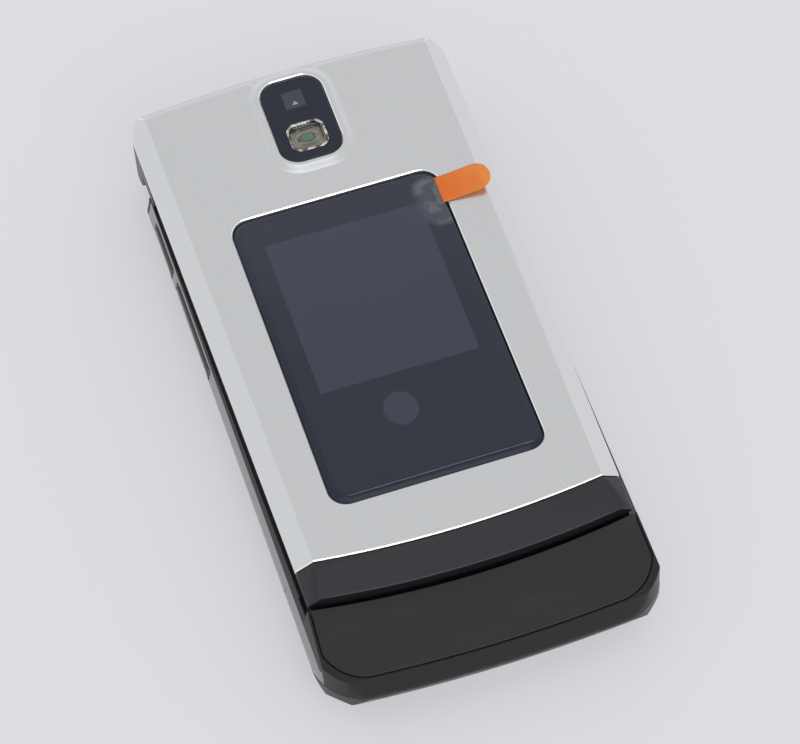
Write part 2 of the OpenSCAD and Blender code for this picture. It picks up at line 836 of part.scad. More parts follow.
// Right half of the base's wall section: its sides lean in above and below the widest line
module wall_section(half) {
    margin = 2;
    side_r = 3;
    over = 0.15;
    low = base_x - under_x(-margin);
    high = base_x - side_x(chin_z + margin);
    round_poly([[0, -margin], [half - low, -margin], [half + over, wide_z], [half - high, chin_z + margin],
        [0, chin_z + margin]], [0, 0, side_r, 0, 0]);
}

// Slanted cut across the lower part of the right front corner
module corner_cut() {
    slant = atan(under_draw / wide_z);
    foot = chin_corner_r - under_draw + corner_soft;
    translate([base_x - chin_corner_r, y_front + chin_corner_r, 0])
        rotate([0, 0, -45])
            translate([foot, 0, 0])
                rotate([0, slant, 0])
                    translate([0, -far / 2, -far / 2])
                        cube(far);
}

// Outer form of the base: its plan, its section across, the bowed front wall and the slope of the chin
module base_form() {
    margin = 2;
    over = 0.15;
    clear = 0.03;
    difference() {
        intersection() {
            translate([0, 0, -margin / 2])
                linear_extrude(chin_z + margin)
                    base_plan(-clear);
            translate([0, y_rear + margin, 0])
                rotate([90, 0, 0])
                    linear_extrude(phone_l + 2 * margin) {
                        wall_section(base_x);
                        mirror([1, 0])
                            wall_section(base_x);
                    }
            translate([0, y_front + front_bow_r, 0])
                rotate_extrude($fn = bow_fn)
                    wall_section(front_bow_r);
            across(-base_x - margin, base_x + margin)
                round_poly([[y_front - margin, 0], [y_rear + over, 0], [y_rear + over, chin_z], [chin_back_y, chin_z],
                    [y_front - margin, rim_z - margin * tan(slope_a)]], [0, 1.5, 0.5, 0.8, 0]);
        }
        for (s = [0, 1])
            mirror([s, 0, 0])
                corner_cut();
    }
}

// Room that the closed lid takes above the deck
module lid_room() {
    translate([0, tip_y + tip_r, deck_z])
        cylinder(h = far, r = tip_r + chin_gap, $fn = bow_fn);
}

// Panel on the sloping chin, grown on all sides to cut its recess
module cap_form(grow) {
    cap_in = base_x - side_x(rim_z) + cap_rim;
    low_x = side_x(wide_z) - cap_rim + grow;
    high_x = side_x(chin_z + 2) - cap_rim + grow;
    intersection() {
        linear_extrude(far)
            difference() {
                base_plan(cap_in - grow);
                translate([0, tip_y + tip_r])
                    circle(tip_r + chin_gap - grow, $fn = bow_fn);
            }
        translate([0, tip_y + far / 2, 0])
            rotate([90, 0, 0])
                linear_extrude(far)
                    polygon([[-low_x, wide_z], [low_x, wide_z], [high_x, chin_z + 2], [-high_x, chin_z + 2]]);
        translate([0, y_front, rim_z])
            rotate([slope_a, 0, 0])
                translate([-far / 2, -far / 2, -cap_t - grow])
                    cube([far, far, cap_t + (grow > 0 ? far : 0.15)]);
    }
}

module chin_cap() {
    color("#393b3e")
        cap_form(0);
}

// Space of one side rail, an even strip that follows the plan round the front corner
module rail_room(s, grow) {
    difference() {
        translate([s > 0 ? 0 : -far, rail_y0 - grow, split_z - far])
            cube([far, rail_y1 - rail_y0 + 2 * grow, far + deck_z - split_z]);
        linear_extrude(far)
            base_plan(side_draw / 2 + rail_t + grow);
    }
}

module side_key_holes(grow) {
    for (k = [[talk_y, talk_l], [volume_y, volume_l]])
        translate([-far, k[0] - k[1] / 2 - grow, side_key_z - side_key_h / 2 - grow])
            cube([far - cavity_x + 1, k[1] + 2 * grow, side_key_h + 2 * grow]);
}

module port_hole() {
    translate([cavity_x - 1, port_y - port_w / 2 - fit, port_z - port_h / 2 - fit])
        cube([far, port_w + 2 * fit, port_h + 2 * fit]);
}

module jack_hole() {
    translate([cavity_x - 1, jack_y, jack_z])
        rotate([0, 90, 0])
            cylinder(h = far, r = jack_r + jack_wall + fit);
}

// Hollow of the base between its walls
module base_cavity(z0, z1) {
    nose_r = chin_corner_r - base_wall;
    tail_r = 0.8;
    translate([0, 0, z0])
        linear_extrude(z1 - z0)
            round_poly([[-cavity_x, cavity_y0], [cavity_x, cavity_y0], [cavity_x, cavity_y1], [-cavity_x, cavity_y1]],
                [nose_r, nose_r, tail_r, tail_r]);
}

// Narrower hollow below the step, where the battery lies
module battery_bay() {
    l = cavity_y1 - bay_y0;
    plate(2 * bay_x, l, 1.5, base_floor, bay_z + 1, [0, bay_y0 + l / 2]);
}

function key_at(i) = [(i % 3 - 1) * key_pitch_x, last_row_y + (3 - floor(i / 3)) * key_pitch_y];
soft_at = [for (v = [1, -1], s = [-1, 1]) [s * soft_x, nav_y + v * soft_y]];
key_r = 1.2;

module key_holes() {
    for (i = [0 : 11])
        plate(key_w + 2 * key_play, key_l + 2 * key_play, key_r + key_play, 0, far, key_at(i));
    for (p = soft_at)
        plate(soft_w + 2 * key_play, soft_l + 2 * key_play, key_r + key_play, 0, far, p);
    translate([0, nav_y, 0])
        cylinder(h = far, r = nav_r + key_play);
}

module keypad_cover() {
    color("#2f3134")
        difference() {
            base_form();
            translate([-far / 2, -far / 2, split_z - far])
                cube([far, far, far + seam]);
            lid_room();
            hinge_disc(trough_r, -far / 2, far / 2);
            base_cavity(0, deck_under);
            key_holes();
            for (s = [-1, 1])
                rail_room(s, fit);
            side_key_holes(key_play);
            port_hole();
            cap_form(seam);
            arm_foot(fit);
            mirror([1, 0, 0])
                arm_foot(fit);
        }
}

// Side strip with a fine joint line across it
module side_rail(s) {
    joint_y = tip_y + 8.2;
    difference() {
        intersection() {
            base_form();
            rail_room(s, 0);
        }
        translate([-far / 2, -far / 2, split_z - far])
            cube([far, far, far + seam]);
        for (t = [-1, 1])
            translate([t * (side_x(wide_z) + 0.3), joint_y, 0])
                cube([1.2, seam, far], center = true);
        side_key_holes(key_play);
        port_hole();
    }
}

module side_rail_left() {
    color("#1d1f23")
        side_rail(-1);
}

module side_rail_right() {
    color("#1d1f23")
        side_rail(1);
}

base_screw_x = under_x(0) - 3;
base_screw_at = [for (s = [-1, 1], y = [bay_y0 + 4, hinge_y - 5]) [s * base_screw_x, y]];

// Two holes through the wall leave a bar for a wrist strap
module strap_eye() {
    eye_y = tip_y + 5.9;
    eye_z = split_z - 1.2;
    eye_h = 1.1;
    for (t = [-1, 1])
        translate([-base_x, eye_y + t * 1.9, eye_z])
            cube([2 * base_wall + 0.4, 1.5, eye_h], center = true);
}

module rear_housing() {
    color("#4b4c4d")
        difference() {
            base_form();
            translate([-far / 2, -far / 2, split_z])
                cube(far);
            hinge_disc(trough_r, -far / 2, far / 2);
            base_cavity(bay_z, far);
            battery_bay();
            jack_hole();
            plate(door_w + 2 * seam, door_l + 2 * seam, 3, -1, far, [0, door_y]);
            strap_eye();
            for (p = base_screw_at)
                translate(p)
                    screw_hole(0);
        }
}

// Cover with a finger notch and grip lines, pulled straight off the back
module battery_cover() {
    z0 = 0.08;
    lines = 5;
    notch_y = door_y - door_l / 2;
    color("#4b4c4d")
        difference() {
            plate(door_w, door_l, 3 - seam, z0, door_t, [0, door_y]);
            translate([0, notch_y, z0])
                rotate([0, 90, 0])
                    cylinder(h = 12, r = 0.8, center = true);
            for (i = [0 : lines - 1])
                plate(14 - 1.6 * i, 0.5, 0.2, -1, z0 + 0.25, [0, notch_y + 4 + 1.3 * i]);
        }
}

module key_cap(w, l, at) {
    lip = 0.25;
    edged_plate(w, l, key_r, key_bottom, key_top, 0.35, 0.2, at);
    plate(w + 2 * lip, l + 2 * lip, key_r + lip, key_bottom, deck_under - fit, at);
}

module number_key(i) {
    color("#3a3d42")
        key_cap(key_w, key_l, key_at(i));
}

module soft_key(i) {
    color(i == 2 ? "#3f7a4c" : i == 3 ? "#93403c" : "#8d9196")
        key_cap(soft_w, soft_l, soft_at[i]);
}

// Round key with a bevelled rim and a lip under the deck
module round_key(r0, r1, lip) {
    bevel = 0.25;
    hole_edge = r0 > 0 ? bevel : 0;
    translate([0, nav_y, 0])
        rotate_extrude()
            polygon([[r0, key_bottom], [r1 + lip, key_bottom], [r1 + lip, deck_under - fit], [r1, deck_under - fit],
                [r1, key_top - bevel], [r1 - 2 * bevel, key_top], [r0 + hole_edge, key_top],
                [r0, key_top - hole_edge]]);
}

module navigation_ring() {
    color("silver")
        round_key(select_r + 2 * key_play, nav_r, 0.3);
}

module select_key() {
    color("#4a4d52")
        round_key(0, select_r, 0);
}

// Key in the left side, facing out through the rail
module side_key(y, l) {
    face_x = side_x(side_key_z) + side_key_out;
    foot_x = cavity_x - 0.05;
    translate([0, y, side_key_z])
        rotate([0, -90, 0]) {
            edged_plate(side_key_h, l, 0.7, foot_x - 0.2, face_x, 0.25, 0.2);
            plate(side_key_h + 2 * side_key_lip, l + 2 * side_key_lip, 0.8, foot_x - 0.4, foot_x);
        }
}

module volume_key() {
    color("#222429")
        side_key(volume_y, volume_l);
}

module talk_key() {
    color("#222429")
        side_key(talk_y, talk_l);
}

module key_dome_sheet() {
    y0 = last_row_y - key_l / 2;
    y1 = nav_y + nav_r;
    w = 2 * (cavity_x - 1.8);
    color("gainsboro")
        plate(w, y1 - y0, 1, dome_top - 0.2, dome_top, [0, (y0 + y1) / 2]);
}

module main_board() {
    y0 = tip_y + 1;
    y1 = cavity_y1 - 0.6;
    w = 2 * (cavity_x - 1.5);
    color("seagreen")
        plate(w, y1 - y0, 1.5, board_z, board_z + board_t, [0, (y0 + y1) / 2]);
}

shield_y = battery_y - battery_l / 2 - 8;

module shield_can() {
    color("lightgray")
        plate(22, 13, 0.8, board_z - 2, board_z - fit, [-7, shield_y]);
}

module card_holder() {
    color("silver")
        difference() {
            plate(13, 12, 0.6, board_z - 1.6, board_z - fit, [12, shield_y]);
            translate([12 - 5.6, shield_y - 8, board_z - 1.2])
                cube([11.2, 12, 0.75]);
        }
}

module battery() {
    color("#24262a")
        plate(battery_w, battery_l, 1.5, battery_z, battery_z + battery_t, [0, battery_y]);
}

module loudspeaker() {
    color("#55585e")
        difference() {
            plate(15, 6.4, 1.5, bay_z, split_z, [4, cavity_y0 + 3.6]);
            for (i = [-2 : 2])
                plate(1.2, 3.6, 0.5, split_z - 0.4, far, [4 + 2.2 * i, cavity_y0 + 3.6]);
        }
}

module vibration_motor() {
    r = 1.8;
    color("silver")
        translate([-14, cavity_y0 + 3.6, bay_z + r])
            rotate([0, 90, 0])
                cylinder(h = 8, r = r);
}

module data_port() {
    wall = 0.35;
    x1 = side_x(port_z) - 0.4;
    x0 = x1 - port_depth;
    color("lightgray")
        translate([x0, port_y, port_z]) {
            difference() {
                translate([0, -port_w / 2, -port_h / 2])
                    cube([port_depth, port_w, port_h]);
                translate([wall, wall - port_w / 2, wall - port_h / 2])
                    cube([far, port_w - 2 * wall, port_h - 2 * wall]);
            }
            translate([0, -port_w / 2 + 1.6, -0.15])
                cube([port_depth - 0.6, port_w - 3.2, 0.6]);
        }
}

module audio_jack() {
    x1 = under_x(jack_z - jack_r - jack_wall) - 0.1;
    x0 = x1 - jack_depth;
    color("#26282c")
        translate([x0, jack_y, jack_z])
            rotate([0, 90, 0])
                difference() {
                    cylinder(h = jack_depth, r = jack_r + jack_wall);
                    translate([0, 0, 0.5])
                        cylinder(h = far, r = jack_r);
                }
}

module base_screws() {
    color("dimgray")
        for (p = base_screw_at)
            translate(p)
                screw(0);
}

lid_cover();
lid_tip_band();
lid_frame();
hinge_barrel();
outer_display_window();
outer_display_panel();
screen_film();
camera_window();
camera_module();
flash_lens();
flash_ring();
flash_led();
main_display_window();
main_display_panel();
earpiece_grille();
earpiece_speaker();
lid_board();
lid_bumpers();
lid_screws();
hinge_cartridge();
hinge_pin_left();
hinge_pin_right();
hinge_arm_left();
hinge_arm_right();
keypad_cover();
chin_cap();
rear_housing();
side_rail_left();
side_rail_right();
volume_key();
talk_key();
number_key(0);  // key_1
number_key(1);  // key_2
number_key(2);  // key_3
number_key(3);  // key_4
number_key(4);  // key_5
number_key(5);  // key_6
number_key(6);  // key_7
number_key(7);  // key_8
number_key(8);  // key_9
number_key(9);  // key_star
number_key(10);  // key_0
number_key(11);  // key_hash
soft_key(0);  // soft_key_left
soft_key(1);  // soft_key_right
soft_key(2);  // call_key
soft_key(3);  // end_key
navigation_ring();
select_key();
key_dome_sheet();
main_board();
shield_can();
battery();
battery_cover();
loudspeaker();
vibration_motor();
card_holder();
data_port();
audio_jack();
base_screws();
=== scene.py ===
import json
import math
import bpy
import bmesh
from mathutils import Matrix, Vector


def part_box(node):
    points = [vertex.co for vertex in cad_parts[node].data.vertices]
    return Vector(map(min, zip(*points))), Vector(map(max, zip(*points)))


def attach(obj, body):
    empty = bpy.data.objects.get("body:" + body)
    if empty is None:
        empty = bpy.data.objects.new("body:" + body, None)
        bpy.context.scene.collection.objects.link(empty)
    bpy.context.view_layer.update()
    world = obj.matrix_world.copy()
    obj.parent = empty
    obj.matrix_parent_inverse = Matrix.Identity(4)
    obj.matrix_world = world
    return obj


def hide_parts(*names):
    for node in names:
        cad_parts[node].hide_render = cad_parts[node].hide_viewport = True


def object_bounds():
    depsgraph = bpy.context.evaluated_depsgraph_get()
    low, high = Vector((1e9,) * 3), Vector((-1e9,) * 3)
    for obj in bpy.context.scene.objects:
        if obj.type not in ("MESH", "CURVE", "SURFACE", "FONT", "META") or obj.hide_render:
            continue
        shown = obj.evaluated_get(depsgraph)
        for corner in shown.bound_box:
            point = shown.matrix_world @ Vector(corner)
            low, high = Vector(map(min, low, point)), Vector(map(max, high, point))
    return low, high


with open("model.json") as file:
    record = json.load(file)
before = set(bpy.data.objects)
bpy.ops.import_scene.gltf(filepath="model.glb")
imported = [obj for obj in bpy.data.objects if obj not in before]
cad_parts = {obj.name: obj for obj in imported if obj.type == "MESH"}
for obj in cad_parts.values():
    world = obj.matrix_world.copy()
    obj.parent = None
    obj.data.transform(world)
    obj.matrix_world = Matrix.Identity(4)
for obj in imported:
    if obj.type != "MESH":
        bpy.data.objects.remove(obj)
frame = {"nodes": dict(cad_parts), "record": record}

nodes = frame["nodes"]
mm = 0.001
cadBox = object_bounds()
scene = bpy.context.scene
scene.view_settings.view_transform = "Standard"
print("frame loaded:", len(nodes), "nodes")


# a socket with arithmetic: each operator adds one Math node
class Wire:
    def __init__(self, tree, socket):
        self.tree = tree
        self.socket = socket

    def math(self, operation, *others):
        node = self.tree.nodes.new("ShaderNodeMath")
        node.operation = operation
        for slot, value in zip(node.inputs, others):
            if isinstance(value, Wire):
                self.tree.links.new(value.socket, slot)
            else:
                slot.default_value = value
        return Wire(self.tree, node.outputs[0])

    def __add__(self, other):
        return self.math("ADD", self, other)

    def __radd__(self, other):
        return self.math("ADD", other, self)

    def __sub__(self, other):
        return self.math("SUBTRACT", self, other)

    def __rsub__(self, other):
        return self.math("SUBTRACT", other, self)

    def __mul__(self, other):
        return self.math("MULTIPLY", self, other)

    def __rmul__(self, other):
        return self.math("MULTIPLY", other, self)

    def __truediv__(self, other):
        return self.math("DIVIDE", self, other)

    def __rtruediv__(self, other):
        return self.math("DIVIDE", other, self)

    def __pow__(self, other):
        return self.math("POWER", self, other)

    def __abs__(self):
        return self.math("ABSOLUTE", self)

    def low(self, other):
        return self.math("MINIMUM", self, other)

    def high(self, other):
        return self.math("MAXIMUM", self, other)

    # 0 below start, 1 above end, smooth between
    def rise(self, start, end):
        node = self.tree.nodes.new("ShaderNodeMapRange")
        node.interpolation_type = "SMOOTHSTEP"
        self.tree.links.new(self.socket, node.inputs["Value"])
        node.inputs["From Min"].default_value = start
        node.inputs["From Max"].default_value = end
        return Wire(self.tree, node.outputs["Result"])


# one material and its node tree, with the surface position in millimetres
class Finish:
    def __init__(self, name):
        self.mat = bpy.data.materials.new(name)
        self.mat.use_nodes = True
        self.tree = self.mat.node_tree
        self.tree.nodes.clear()
        self.out = self.tree.nodes.new("ShaderNodeOutputMaterial")
        place = self.add("ShaderNodeTexCoord", output="Object")
        self.spot = self.add("ShaderNodeVectorMath", {"operation": "SCALE"}, {0: place, "Scale": 1 / mm})
        split = self.add("ShaderNodeSeparateXYZ", {}, {0: self.spot}, output=None)
        self.x, self.y = (Wire(self.tree, split.outputs[k]) for k in range(2))

    def add(self, kind, settings=None, sockets=None, output=0):
        node = self.tree.nodes.new(kind)
        for key, value in (settings or {}).items():
            setattr(node, key, value)
        for key, value in (sockets or {}).items():
            if isinstance(value, Wire):
                self.tree.links.new(value.socket, node.inputs[key])
            else:
                node.inputs[key].default_value = value
        return node if output is None else Wire(self.tree, node.outputs[output])

    def noise(self, scale, detail=4.0, rough=0.55, stretch=(1, 1, 1)):
        place = self.add("ShaderNodeMapping", {}, {"Vector": self.spot, "Scale": stretch})
        return self.add("ShaderNodeTexNoise", {},
                        {"Vector": place, "Scale": scale, "Detail": detail, "Roughness": rough})

    # mix of two colours, each a wire or three numbers
    def tint(self, factor, below, above):
        below, above = (c if isinstance(c, Wire) else (*c, 1) for c in (below, above))
        return self.add("ShaderNodeMix", {"data_type": "RGBA"}, {0: factor, 6: below, 7: above}, output=2)

    def bump(self, height, distance):
        return self.add("ShaderNodeBump", {}, {"Height": height, "Distance": distance * mm, "Strength": 1.0})

    # rounded rectangle in plan: 1 inside, 0 outside, with a soft edge
    def patch(self, centre, size, radius, soft=0.05):
        dx = (abs(self.x - centre[0]) - (size[0] / 2 - radius)).high(0.0)
        dy = (abs(self.y - centre[1]) - (size[1] / 2 - radius)).high(0.0)
        away = (dx * dx + dy * dy) ** 0.5
        return 1 - away.rise(radius - soft, radius + soft)

    def surface(self, **sockets):
        named = {key.replace("_", " "): value for key, value in sockets.items()}
        shader = self.add("ShaderNodeBsdfPrincipled", {}, named, output=None)
        self.tree.links.new(shader.outputs[0], self.out.inputs[0])
        return shader

    # the surface becomes a mix of two shaders
    def blend(self, factor, below, above):
        mixed = self.add("ShaderNodeMixShader", {}, {0: factor}, output=None)
        for slot, shader in ((1, below), (2, above)):
            self.tree.links.new(shader.outputs[0], mixed.inputs[slot])
        self.tree.links.new(mixed.outputs[0], self.out.inputs[0])


# a screen colour of 0 to 255 as the linear values that shaders take
def linear(*colour):
    shares = (c / 255 for c in colour)
    return tuple(c / 12.92 if c <= 0.04045 else ((c + 0.055) / 1.055) ** 2.4 for c in shares)


# middle of a CAD node's box, in millimetres
def middle(node):
    lo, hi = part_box(node)
    return (lo + hi) / 2 / mm


# fine moulded or painted grain that most finishes share
def grainy(name, dark, light, rough, spread, grain, depth, metal=0.0, coat=0.0, ior=1.5, stretch=(1, 1, 1)):
    f = Finish(name)
    cloud = f.noise(0.08, 3.0)
    fine = f.noise(grain, 5.0, 0.6, stretch)
    f.surface(Base_Color=f.tint(cloud * 0.6 + fine * 0.4, dark, light), Roughness=rough + (fine - 0.5) * spread,
              Metallic=metal, Coat_Weight=coat, Coat_Roughness=0.05, IOR=ior, Normal=f.bump(fine, depth))
    return f.mat


def silverCover():
    f = Finish("silver_cover")
    cloud = f.noise(0.05, 2.0)
    brushed = f.noise(3.0, 4.0, 0.6, (1.0, 0.06, 1.0))
    fleck = f.noise(14.0, 2.0)
    tone = cloud * 0.35 + brushed * 0.35 + fleck * 0.3
    f.surface(Base_Color=f.tint(tone, (0.715, 0.723, 0.727), (0.745, 0.75, 0.752)),
              Roughness=0.28 + (brushed - 0.5) * 0.1, Metallic=0.85, Normal=f.bump(fleck, 0.0003))
    return f.mat


def polishedEdge():
    f = Finish("polished_edge")
    line = f.noise(2.0, 3.0, 0.5, (0.3, 2.0, 1.0))
    f.surface(Base_Color=f.tint(line, (0.86, 0.86, 0.85), (0.95, 0.95, 0.94)),
              Roughness=0.16 + line * 0.1, Metallic=0.9)
    return f.mat


# see-through areas of the two lenses, and the band over which the outer lens gets a painted reflection that
# lightens it towards the top, in millimetres
lens = {"screen": (0.0, 6.4), "screenSize": (22.4, 25.8), "dot": (-1.75, -12.2), "dotSize": (4.7, 5.4),
        "paintedLightBand": (-6.0, 30.0), "innerSize": (33.0, 45.0), "corner": 0.4}


def outerLens():
    f = Finish("outer_lens")
    smear = f.noise(0.12, 4.0)
    fine = f.noise(6.0, 3.0)
    screen = f.patch(lens["screen"], lens["screenSize"], lens["corner"])
    dx = (f.x - lens["dot"][0]) / (lens["dotSize"][0] / 2)
    dy = (f.y - lens["dot"][1]) / (lens["dotSize"][1] / 2)
    dot = 1 - ((dx * dx + dy * dy) ** 0.5).rise(0.97, 1.03)
    # painted reflection: the outer lens's ink and screen are made lighter towards the top, standing in for
    # reflected light
    paintedTopLight = f.y.rise(*lens["paintedLightBand"])
    ink = f.tint((paintedTopLight * 0.85 + smear * 0.2).low(1.0), (0.002, 0.008, 0.019), (0.020, 0.026, 0.043))
    lit = f.tint((paintedTopLight * 0.7 + fine * 0.3).low(1.0), (0.026, 0.033, 0.057), (0.038, 0.047, 0.076))
    f.surface(Base_Color=f.tint(dot.high(screen), ink, lit), Roughness=0.06 + smear * 0.06, IOR=1.5)
    return f.mat


def innerLens():
    f = Finish("inner_lens")
    smear = f.noise(0.12, 4.0)
    screen = f.patch(middle("main_display_window"), lens["innerSize"], lens["corner"])
    ink = f.tint(smear, (0.004, 0.004, 0.006), (0.007, 0.008, 0.01))
    lit = f.tint(smear, (0.022, 0.025, 0.034), (0.028, 0.031, 0.042))
    f.surface(Base_Color=f.tint(screen, ink, lit), Roughness=0.05 + smear * 0.05)
    return f.mat


def chinBlack():
    f = Finish("chin_black")
    cloud = f.noise(0.07, 3.0)
    fine = f.noise(9.0, 4.0, 0.6)
    smear = f.noise(0.16, 5.0, 0.6, (0.5, 1.3, 1.0)).rise(0.52, 0.75)
    scratch = f.noise(0.9, 2.0, 0.5, (0.12, 1.6, 1.0)).rise(0.66, 0.7)
    base = f.tint(cloud * 0.5 + fine * 0.5, (0.009, 0.010, 0.012), (0.016, 0.017, 0.019))
    worn = f.tint(smear * 0.5 + scratch * 0.12, base, (0.030, 0.031, 0.032))
    f.surface(Base_Color=worn, Roughness=0.5 + smear * 0.12 + (fine - 0.5) * 0.1, IOR=1.42,
              Normal=f.bump(fine, 0.003))
    return f.mat


# clear film on the outer lens, with a creased corner, and its pull tab that curls up off the cover
film = {"rim": 1.0, "rightRim": 0.35, "corner": 1.8, "lift": 0.02, "thick": 0.08,
        "crease": (13.6, 19.0), "creaseSize": (5.2, 8.4), "creaseCorner": 2.2,
        "tabWidth": 4.5, "tabDown": 0.95, "tabPast": 0.3, "tabUnder": 0.2, "tabPale": (14.0, 21.5),
        "curl": 1.0, "curlPower": 1.3, "steps": 24, "across": 8, "cornerSteps": 8}


def orangeTab():
    f = Finish("film_tab")
    along = f.x.rise(*film["tabPale"])
    wave = f.noise(0.6, 3.0)
    colour = f.tint((along * 0.8 + wave * 0.3).low(1.0), linear(250, 132, 44), linear(252, 168, 84))
    shader = f.surface(Base_Color=colour, Roughness=0.25 + wave * 0.1, IOR=1.45)
    clear = f.add("ShaderNodeBsdfTransparent", {}, {"Color": (*linear(255, 196, 128), 1)}, output=None)
    f.blend(0.6 + wave * 0.1 - along * 0.12, clear, shader)
    return f.mat


def clearFilm():
    f = Finish("clear_film")
    wave = f.noise(0.25, 3.0)
    blister = f.noise(0.33, 2.0, 0.5).rise(0.5, 0.54)
    corner = f.patch(film["crease"], film["creaseSize"], film["creaseCorner"], 0.7)
    speck = f.noise(1.1, 2.0, 0.7).rise(0.74, 0.77)
    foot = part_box("outer_display_window")[0].y / mm + film["rim"]
    hem = 1 - (f.y - foot).rise(0.02, 0.16)
    haze = (corner * (0.25 + blister * 0.4)).high(speck * 0.2).high(hem * 0.8)
    shader = f.surface(Base_Color=f.tint(wave, linear(120, 124, 132), linear(150, 152, 158)),
                       Roughness=0.12 + wave * 0.1)
    clear = f.add("ShaderNodeBsdfTransparent", output=None)
    f.blend(haze * 0.5 + 0.02, clear, shader)
    return f.mat


def clearLens():
    f = Finish("clear_lens")
    wave = f.noise(0.8, 2.0)
    f.surface(Base_Color=f.tint(wave, (0.9, 0.93, 0.9), (0.97, 0.98, 0.95)), Roughness=0.03 + wave * 0.04,
              IOR=1.49, Transmission_Weight=1.0)
    return f.mat


# flash reflector round its green chip, with pale painted highlight lines standing in for light on the moulded
# steps, in millimetres
flash = {"chip": (0.95, 0.62), "chipUp": 0.1, "steps": ((3.4, 2.6), (2.7, 1.9)),
         "stepWidth": 0.15, "stepCorner": 0.8}


# rounded ring of one step, where a painted highlight line goes
def flashStep(f, mid, size):
    inner = tuple(side - 2 * flash["stepWidth"] for side in size)
    outside = f.patch(mid, size, flash["stepCorner"], 0.06)
    return outside - f.patch(mid, inner, flash["stepCorner"] - 0.1, 0.06)


def lampChip():
    f = Finish("lamp_chip")
    mid = middle("flash_led")
    wave = f.noise(1.2, 3.0)
    dx, dy = (f.x - mid.x) / flash["chip"][0], (f.y - mid.y - flash["chipUp"]) / flash["chip"][1]
    away = (dx * dx + dy * dy) ** 0.5
    chip = 1 - away.rise(0.85, 1.05)
    dark = (1 - away.rise(1.15, 1.6)) * 0.9
    steps = [flashStep(f, mid, size) for size in flash["steps"]]
    bowl = f.tint(dark, f.tint(wave, linear(150, 138, 112), linear(206, 194, 164)), linear(78, 72, 52))
    # painted highlight: pale lines on the moulded steps stand in for light caught by them
    paintedStepGlints = f.tint((steps[0] + steps[1]).low(1.0) * 0.8, bowl, linear(226, 218, 196))
    green = f.tint(wave, linear(62, 122, 92), linear(112, 178, 142))
    f.surface(Base_Color=f.tint(chip, paintedStepGlints, green), Roughness=0.3 + wave * 0.1)
    return f.mat


# clear rim round the flash, with painted glints: its colour is bright only in places, standing in for
# reflections
def flashRing():
    f = Finish("flash_ring")
    # painted reflection: bright patches in the base colour stand in for glints of light on the rim
    paintedRingGlint = f.noise(0.75, 3.0, 0.6).rise(0.42, 0.62)
    fine = f.noise(4.0, 3.0)
    f.surface(Base_Color=f.tint(paintedRingGlint, (0.10, 0.10, 0.105), (0.92, 0.90, 0.86)), Metallic=0.95,
              Roughness=0.1 + fine * 0.08)
    return f.mat


# thin grey pane that closes the square opening in the camera window, with a painted highlight: a pale wedge
# standing in for light glinting on the lens behind
pane = {"size": 3.1, "inset": 0.02, "below": 0.03, "thick": 0.15, "edge": 0.03,
        "paintedGlintDown": 0.95, "paintedGlintHigh": 0.62, "paintedGlintWide": 0.42}


def cameraPane():
    f = Finish("camera_pane")
    mid = middle("camera_module")
    wave = f.noise(0.9, 3.0)
    low = (f.y - mid.y + pane["paintedGlintDown"]) / pane["paintedGlintHigh"]
    sides = 1 - (abs(f.x - mid.x) - (1 - low) * pane["paintedGlintWide"]).rise(-0.06, 0.1)
    # painted highlight: a pale wedge in the colour stands in for a glint of light on the lens
    paintedLensGlint = sides * low.rise(-0.1, 0.05) * (1 - low.rise(0.8, 1.1))
    grey = f.tint(wave, (0.030, 0.036, 0.050), (0.058, 0.064, 0.082))
    f.surface(Base_Color=f.tint(paintedLensGlint * 0.75, grey, linear(186, 182, 170)), Roughness=0.1 + wave * 0.08)
    return f.mat


